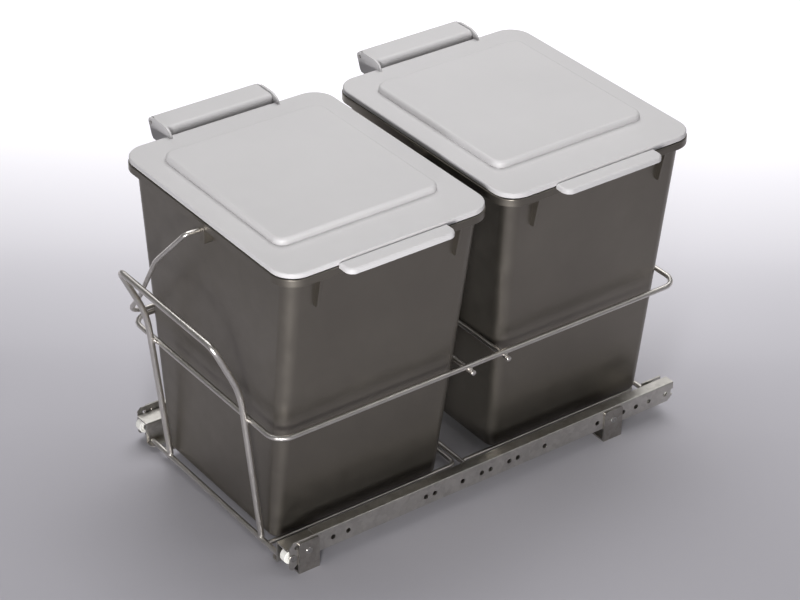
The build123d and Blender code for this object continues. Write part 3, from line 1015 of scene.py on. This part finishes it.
@dataclass
class HingeBar(BinPart):
    """The ribbed bar on the bin's rim that the lid turns on.

    The seat is the heights of the notch that rests on the rim. The barrel meets the ceiling over the barrel
    run, which is counted from the pin.
    """

    barrel: float = 5.0
    top: float = 316.8
    near: float = -134.2
    low: float = 298.0
    wall: float = 2.5
    round: float = 4.0
    inner_round: float = 2.0
    burr: float = 0.4
    seat: tuple[float, ...] = (303.2, 303.6, 303.9)
    barrel_run: Spot = (4.6, 5.6)
    barrel_drop: float = 0.8
    rib_half: float = 1.0
    rib_sink: float = 1.0
    rib_drop: float = 2.0
    ribs: tuple[float, ...] = (-54.5, -18.0, 18.0, 54.5)

    def section(self) -> list[Spot]:
        """The outline of the bar, seen along its pin."""
        x, soft = HINGE_AXIS[0], self.inner_round
        inner, ceiling = self.near - self.wall, self.top - self.wall
        face, burr, low, high = -RIM_REACH, self.burr, self.low, self.top - self.round
        return [
            (face, low + burr), (face, self.seat[0]), (face - burr, self.seat[1]), (self.near, self.seat[2]),
            *arc((self.near - self.round, high), self.round, 0, 90, 6),
            *arc(HINGE_AXIS, self.barrel, 90, 300, 16),
            (x + self.barrel_run[0], ceiling - self.barrel_drop), (x + self.barrel_run[1], ceiling),
            *arc((inner - soft, ceiling - soft), soft, 90, 0, 3),
            (inner, low + burr), (inner + burr, low), (face - burr, low),
        ]

    def build(self, workshop: Workshop) -> None:
        """Make the bar and tie it to the bin."""
        x, z = HINGE_AXIS
        cover = ShapeDraft().plate(self.section(), self.y - BAR_HALF, self.y + BAR_HALF).soften(0.5, 3, 50)
        sink = self.rib_sink
        inside, roof = self.near - sink, self.top - sink
        outline = [(inside, self.low + sink), (inside, self.top - self.round), (self.near - self.round, roof),
                   (x, roof), (x, z - self.rib_drop)]
        rib = ShapeDraft().plate(outline, -self.rib_half, self.rib_half).data()
        places = [Place((0, self.y + rib_y, 0)) for rib_y in self.ribs]
        ribs = workshop.repeater.repeat("ribs", rib, places, workshop.palette.lid)
        made = piece(self.called("hinge_cover"), [cover.data(), ribs], workshop.palette.lid)
        show(made, self.called("bin"), "lid_plastic", self.called("hinge_bar"))


@dataclass(frozen=True)
class HoopRail:
    """The rail round both bins, which the rest of the wire frame is set by."""

    half: Spot = (120.0, 227.0)
    z: float = 141.5
    wire: float = 5.0
    corner: float = 16.0

    def run(self) -> WireRun:
        """The rail as one closed wire."""
        x, y = self.half
        corners = ((x, -y), (x, y), (-x, y), (-x, -y))
        return WireRun(tuple((px, py, self.z) for px, py in corners), (self.corner,) * 4, True)


@dataclass
class CarryingBail(BinPart):
    """The wire handle of one bin, at rest on the hoop rail.

    Its long side bows out: the bow is how far from the pivot and how far out from the bin's middle it bends.
    """

    rail: HoopRail = HoopRail()
    diameter: float = 4.5
    pivot_z: float = 293.5
    radius: float = 191.0
    gap: float = 0.3
    bow: Outline = ((0.0, 123.0), (49.0, 135.0), (146.0, 117.7))
    rim_gap: float = 0.7
    bite: float = 5.0
    hook: float = 5.0
    corner: float = 28.0
    turn: float = 2.6

    def route(self) -> tuple[Point, ...]:
        """The corners of the bail's runs, leaning until it touches the rail."""
        across, drop = self.rail.half[0], self.pivot_z - self.rail.z
        apart = hypot(across, drop)
        touch = (self.rail.wire + self.diameter) / 2 + self.gap
        lift = acos((self.radius**2 + apart**2 - touch**2) / (2 * self.radius * apart))
        lean = atan2(across, drop) + lift
        inner = RIM_FACE + self.diameter / 2 + self.rim_gap
        tip = RIM_FACE - self.bite
        flat = [(0, tip), *self.bow, (self.radius, self.bow[-1][1]), (self.radius, -inner), (0, -inner),
                (0, -tip)]
        return tuple((-far * sin(lean), self.y + self.end.value * out, self.pivot_z - far * cos(lean))
                     for far, out in flat)

    def build(self, workshop: Workshop) -> None:
        """Make the bail and tie it to its body."""
        run = WireRun(self.route(), (self.hook, *[self.corner] * 4, self.turn))
        made = workshop.bender.bend(self.called("bail_wire"), [run], self.diameter, workshop.palette.wire)
        show(made, self.called("bail"), "frame_wire", self.called("bail"))


@dataclass
class WireCarriage:
    """The welded wire frame that carries both bins, with its pull handle."""

    rail: HoopRail = HoopRail()
    handle_wire: float = 6.0
    sink: float = 0.4
    cross_y: float = 20.0
    cross_reach: float = 126.5
    base_y: float = 218.0
    base_reach: float = 107.0
    base_z: float = 8.6
    floor_side: float = 55.0
    floor_reach: float = 100.9
    loop_side: float = 87.5
    loop_end: float = 7.5
    loop_corner: float = 8.0
    upright_side: float = 55.0
    leg_inset: float = 1.0
    handle_side: float = 77.0
    bend_z: float = 172.0
    bar: Spot = (-262.0, 228.0)
    handle_corner: float = 10.0
    handle_bend: float = 110.0
    cross_bead: Point = (3.0, 3.2, 1.3)
    rail_bead: Point = (3.6, 1.4, 3.0)
    base_bead: Point = (3.4, 3.2, 1.5)
    loop_bead: Point = (3.3, 1.4, 2.2)

    @property
    def half_wire(self) -> float:
        """Half the thickness of the frame's wire."""
        return self.rail.wire / 2

    @property
    def foot(self) -> float:
        """How high the legs start, sunk into the base wires by their welds."""
        return self.base_z + self.half_wire - self.sink

    def leg_y(self, z: float) -> float:
        """How far out a leg stands at a height."""
        low = self.base_y - self.leg_inset
        high = self.rail.half[1] + self.half_wire + self.handle_wire / 2 - self.sink
        return low + (high - low) * (z - self.base_z) / (self.rail.z - self.base_z)

    def loop_start(self, end: End) -> float:
        """Where the base wire is that a bin's loop is welded to, along Y."""
        return (end.value - 1) / 2 * self.base_y

    def straight(self, y: float, reach: float, z: float) -> WireRun:
        """A straight wire across the carriage."""
        return WireRun(((-reach, y, z), (reach, y, z)))

    def loop(self, end: End) -> WireRun:
        """The wire round a bin's foot, open at the base wire that it is welded to."""
        side, start = self.loop_side, self.loop_start(end)
        near, far = start + self.half_wire - self.sink, start + self.base_y - self.loop_end
        ring = ((-side, near), (-side, far), (side, far), (side, near))
        return WireRun(tuple((x, y, self.base_z) for x, y in ring), (self.loop_corner,) * 2)

    def handle(self) -> WireRun:
        """The pull handle: a leg each side, bent forward to the bar."""
        side = self.handle_side
        leg = [(-self.leg_y(self.foot), self.foot), (-self.leg_y(self.bend_z), self.bend_z), self.bar]
        points = [(-side, y, z) for y, z in leg] + [(side, y, z) for y, z in leg[::-1]]
        bends = (self.handle_bend, self.handle_corner, self.handle_corner, self.handle_bend)
        return WireRun(tuple(points), bends)

    def upright(self, x: float) -> WireRun:
        """One of the posts that hold the back of the rail."""
        return WireRun(tuple((x, self.leg_y(z), z) for z in (self.foot, self.rail.z + self.half_wire)))

    def runs(self) -> dict[str, list[WireRun]]:
        """Every node of the carriage, with its wires."""
        made = {
            "hoop_rail": [self.rail.run()],
            "centre_base_wire": [self.straight(0, self.base_reach, self.base_z)],
        }
        under_rail, under_base = (z - self.rail.wire + self.sink for z in (self.rail.z, self.base_z))
        for end in End:
            way = end.value
            floor = [way * BIN_PITCH / 2 + side * self.floor_side for side in (-1, 1)]
            made |= {
                end.label + "_cross_wire": [self.straight(way * self.cross_y, self.cross_reach, under_rail)],
                end.label + "_base_wire": [self.straight(way * self.base_y, self.base_reach, self.base_z)],
                end.label + "_base_loop": [self.loop(end)],
                end.label + "_floor_wires": [self.straight(y, self.floor_reach, under_base) for y in floor],
            }
        posts = [self.upright(side * self.upright_side) for side in (-1, 1)]
        return made | {"pull_handle": [self.handle()], "rear_uprights": posts}

    def weld_places(self) -> list[Place]:
        """Where wires are welded together, as slightly spread beads."""
        x, y = self.rail.half
        under_rail, over_base, beside_rail = self.rail.z - self.half_wire + 0.2, self.base_z + 2.6, y + 2.4
        spots = []
        for end, leg in ((End.FRONT, self.handle_side), (End.REAR, self.upright_side)):
            loop_y = self.loop_start(end) + self.half_wire
            spots += [
                ((x, end.value * self.cross_y, under_rail), self.cross_bead),
                ((leg, end.value * beside_rail, self.rail.z), self.rail_bead),
                ((leg, end.value * self.base_y, over_base), self.base_bead),
                ((self.loop_side, loop_y, self.base_z), self.loop_bead),
            ]
        return [Place((side * px, py, pz), size=size) for (px, py, pz), size in spots for side in (-1, 1)]

    def build(self, workshop: Workshop) -> None:
        """Make the wires and the weld beads, and tie them to the carriage."""
        wire = workshop.palette.wire
        for node, runs in self.runs().items():
            diameter = self.handle_wire if node in ("pull_handle", "rear_uprights") else self.rail.wire
            show(workshop.bender.bend(node + "_bent", runs, diameter, wire), "carriage", "frame_wire", node)
        beads = workshop.repeater.repeat("welds", ShapeDraft().ball().data(), self.weld_places(), wire)
        show(piece("weld_beads", [beads], wire), "carriage", "frame_wire")


@dataclass
class RollerRunner:
    """The rollers and rivets of the two runners, and the finishes of their sheet steel.

    A roller is given by its place along Y, its height and its radius. Depths run inwards from the runner's
    outer face. The dish and the hub are depths from the roller's inner face, with how far they are from its
    tread and its bore. The rivet's head and tail are depths from the sheet and the bracket, with radii.
    """

    face: float = 129.0
    sheet: float = 1.5
    front: Point = (-218.0, 18.4, 7.3)
    rear: Point = (212.0, 24.5, 8.2)
    roller_gap: float = 1.2
    roller_width: float = 8.0
    tread_round: float = 0.9
    dish: Outline = ((0.0, 1.6), (1.0, 2.0), (1.2, 2.4))
    hub: Outline = ((1.2, 1.8), (0.9, 1.4), (0.0, 1.2), (0.0, 0.3), (0.3, 0.0))
    bore: float = 2.58
    feet: Spot = (-202.0, 148.0)
    rivet_z: float = 21.5
    rivet_head: Outline = ((0.9, 2.2), (0.9, 3.0), (0.5, 3.6), (0.0, 3.6), (0.0, 2.4))
    rivet_tail: Outline = ((0.0, 2.4), (0.0, 3.6), (0.3, 3.5), (0.6, 3.1), (0.8, 2.3), (0.9, 1.2))
    bracket: float = 2.0

    def set_in(self, name: str, shape: ShapeDraft, side: Side, spots: Outline,
               finish: bpy.types.Material, workshop: Workshop) -> bpy.types.Mesh:
        """Put copies of a turned shape into one of the runners.

        Args:
            name: What the copies are.
            shape: The shape, round the X axis.
            side: The runner.
            spots: Where each copy's axis is, along Y and in height.
            finish: Their material.
            workshop: What they are made with.

        Returns:
            One mesh of them all.
        """
        turn = (0.0, 0.0, 0.0) if side is Side.RIGHT else HALF_TURN
        places = [Place((side.value * self.face, y, z), turn) for y, z in spots]
        return workshop.repeater.repeat(name, shape.data(), places, finish)

    def roller(self, end: End, side: Side, workshop: Workshop) -> None:
        """One moulded roller with a rounded tread and a dished face."""
        y, z, radius = self.front if end is End.FRONT else self.rear
        near = self.sheet + self.roller_gap
        far = near + self.roller_width
        profile = [(near + depth, self.bore + out) for depth, out in (self.hub[-1], self.hub[-2])]
        tread = arc((near + self.tread_round, radius - self.tread_round), self.tread_round, 180, 90, 3)
        profile += tread + [(near + far - depth, r) for depth, r in tread[::-1]]
        profile += [(far - depth, radius - under) for depth, under in self.dish]
        profile += [(far - depth, self.bore + out) for depth, out in self.hub]
        shape = ShapeDraft().turned([(-depth, r) for depth, r in profile], around=True)
        name, finish = f"{end.label}_{side.label}", workshop.palette.roller
        set_roller = self.set_in("roller", shape, side, [(y, z)], finish, workshop)
        show(piece(name + "_tread", [set_roller], finish), name + "_wheel", "roller_nylon", name + "_roller")

    def rivets(self, workshop: Workshop) -> None:
        """The four rivets that join the foot brackets to the fixed webs."""
        profile = [(-self.sheet - depth, r) for depth, r in self.rivet_head]
        profile += [(self.bracket + depth, r) for depth, r in self.rivet_tail]
        spots, pin = [(y, self.rivet_z) for y in self.feet], workshop.palette.pin
        shapes = [self.set_in("rivets", ShapeDraft().turned(profile), side, spots, pin, workshop)
                  for side in Side]
        show(piece("bracket_rivet_heads", shapes, pin), "mounting", "pin_steel", "bracket_rivets")

    def build(self, workshop: Workshop) -> None:
        """Make the small parts, and give the sheet steel its finishes."""
        for end in End:
            for side in Side:
                self.roller(end, side, workshop)
        self.rivets(workshop)
        palette = workshop.palette
        finishes = {"member": palette.sheet, "bracket": palette.bracket}
        finishes |= {"axles": palette.pin, "pin": palette.pin}
        for node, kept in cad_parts.items():
            if not kept.hide_render:
                kept.data.materials.clear()
                kept.data.materials.append(finishes[node.rsplit("_", 1)[1]])
                log.info("%s keeps its CAD shape", node)


# ---- the studio, in metres ----
@dataclass(frozen=True)
class Lamp:
    """One square soft light: its place, aim, side in metres, power in watts and fan in degrees."""

    name: str
    place: Point
    aim: Point
    size: float
    power: float
    fan: float = 180.0

    def hang(self) -> None:
        """Put the light up, unseen by the camera."""
        data = bpy.data.lights.new(self.name, "AREA")
        data.energy = self.power
        data.spread = radians(self.fan)
        data.size = self.size
        made = new_object(self.name, data)
        made.location = self.place
        made.rotation_mode = "QUATERNION"
        made.rotation_quaternion = (Vector(self.aim) - Vector(self.place)).to_track_quat("-Z", "Y")
        made.visible_camera = False


@dataclass
class Studio:
    """Floor, soft lights and the camera, solved from the photograph."""

    azimuth: float = 53.469
    elevation: float = 32.203
    roll: float = 0.825
    place: Point = (1.592, -1.162, 1.393)
    lens: float = 113.49
    sensor: float = 36.0
    far_sight: float = 60.0
    floor_half: float = 6.0
    sky: Colour = (1.0, 0.99, 0.98)
    sky_strength: float = 0.16
    lamps: tuple[Lamp, ...] = (
        Lamp("softbox", (-0.58, 0.48, 1.75), (0.0, 0.0, 0.2), 1.8, 31.0),
        Lamp("edge_light", (1.05, 1.0, 1.45), (0.1, 0.0, 0.1), 0.8, 1.8),
        Lamp("front_fill", (1.62, -1.42, 0.34), (0.0, 0.0, 0.2), 0.45, 2.6, 36.0),
    )

    def camera(self) -> None:
        """The camera at the photograph's angle."""
        a, e, r = (radians(angle) for angle in (self.azimuth, self.elevation, self.roll))
        back = Vector((sin(a) * cos(e), -cos(a) * cos(e), sin(e)))
        level = (-back).cross(Vector((0, 0, 1))).normalized()
        up = level.cross(-back)
        across = level * cos(r) + up * sin(r)
        above = up * cos(r) - level * sin(r)
        data = bpy.data.cameras.new("camera")
        data.lens = self.lens
        data.sensor_width = self.sensor
        data.clip_end = self.far_sight
        made = new_object("camera", data)
        turn = Matrix((across, above, back)).transposed().to_4x4()
        made.matrix_world = Matrix.Translation(self.place) @ turn
        bpy.context.scene.camera = made

    def floor(self) -> None:
        """The sheet that the unit stands on."""
        half = self.floor_half
        data = bpy.data.meshes.new("floor")
        corners = [(x * half, y * half, 0) for x, y in ((-1, -1), (1, -1), (1, 1), (-1, 1))]
        data.from_pydata(corners, [], [(0, 1, 2, 3)])
        data.materials.append(StudioFloor(self.azimuth).material())
        new_object("floor", data)

    def world(self) -> None:
        """An even, dim surround."""
        world = bpy.data.worlds.new("studio")
        world.use_nodes = True
        shade = world.node_tree.nodes["Background"]
        shade.inputs["Color"].default_value = (*self.sky, 1)
        shade.inputs["Strength"].default_value = self.sky_strength
        bpy.context.scene.world = world

    def build(self) -> None:
        """Set up the whole studio."""
        self.world()
        self.floor()
        for lamp in self.lamps:
            lamp.hang()
        self.camera()
        bpy.context.scene.view_settings.view_transform = "Standard"
        log.info("studio ready")


def main() -> None:
    """Build every sub-assembly in order, and report each piece."""
    logging.basicConfig(level=logging.INFO, format="%(name)s: %(message)s")
    workshop = Workshop(Palette.mixed())
    for end in End:
        for part in (WasteBin(end), BinLid(end), HingeBar(end), CarryingBail(end)):
            part.build(workshop)
    WireCarriage().build(workshop)
    RollerRunner().build(workshop)
    Studio().build()


if __name__ == "__main__":
    main()
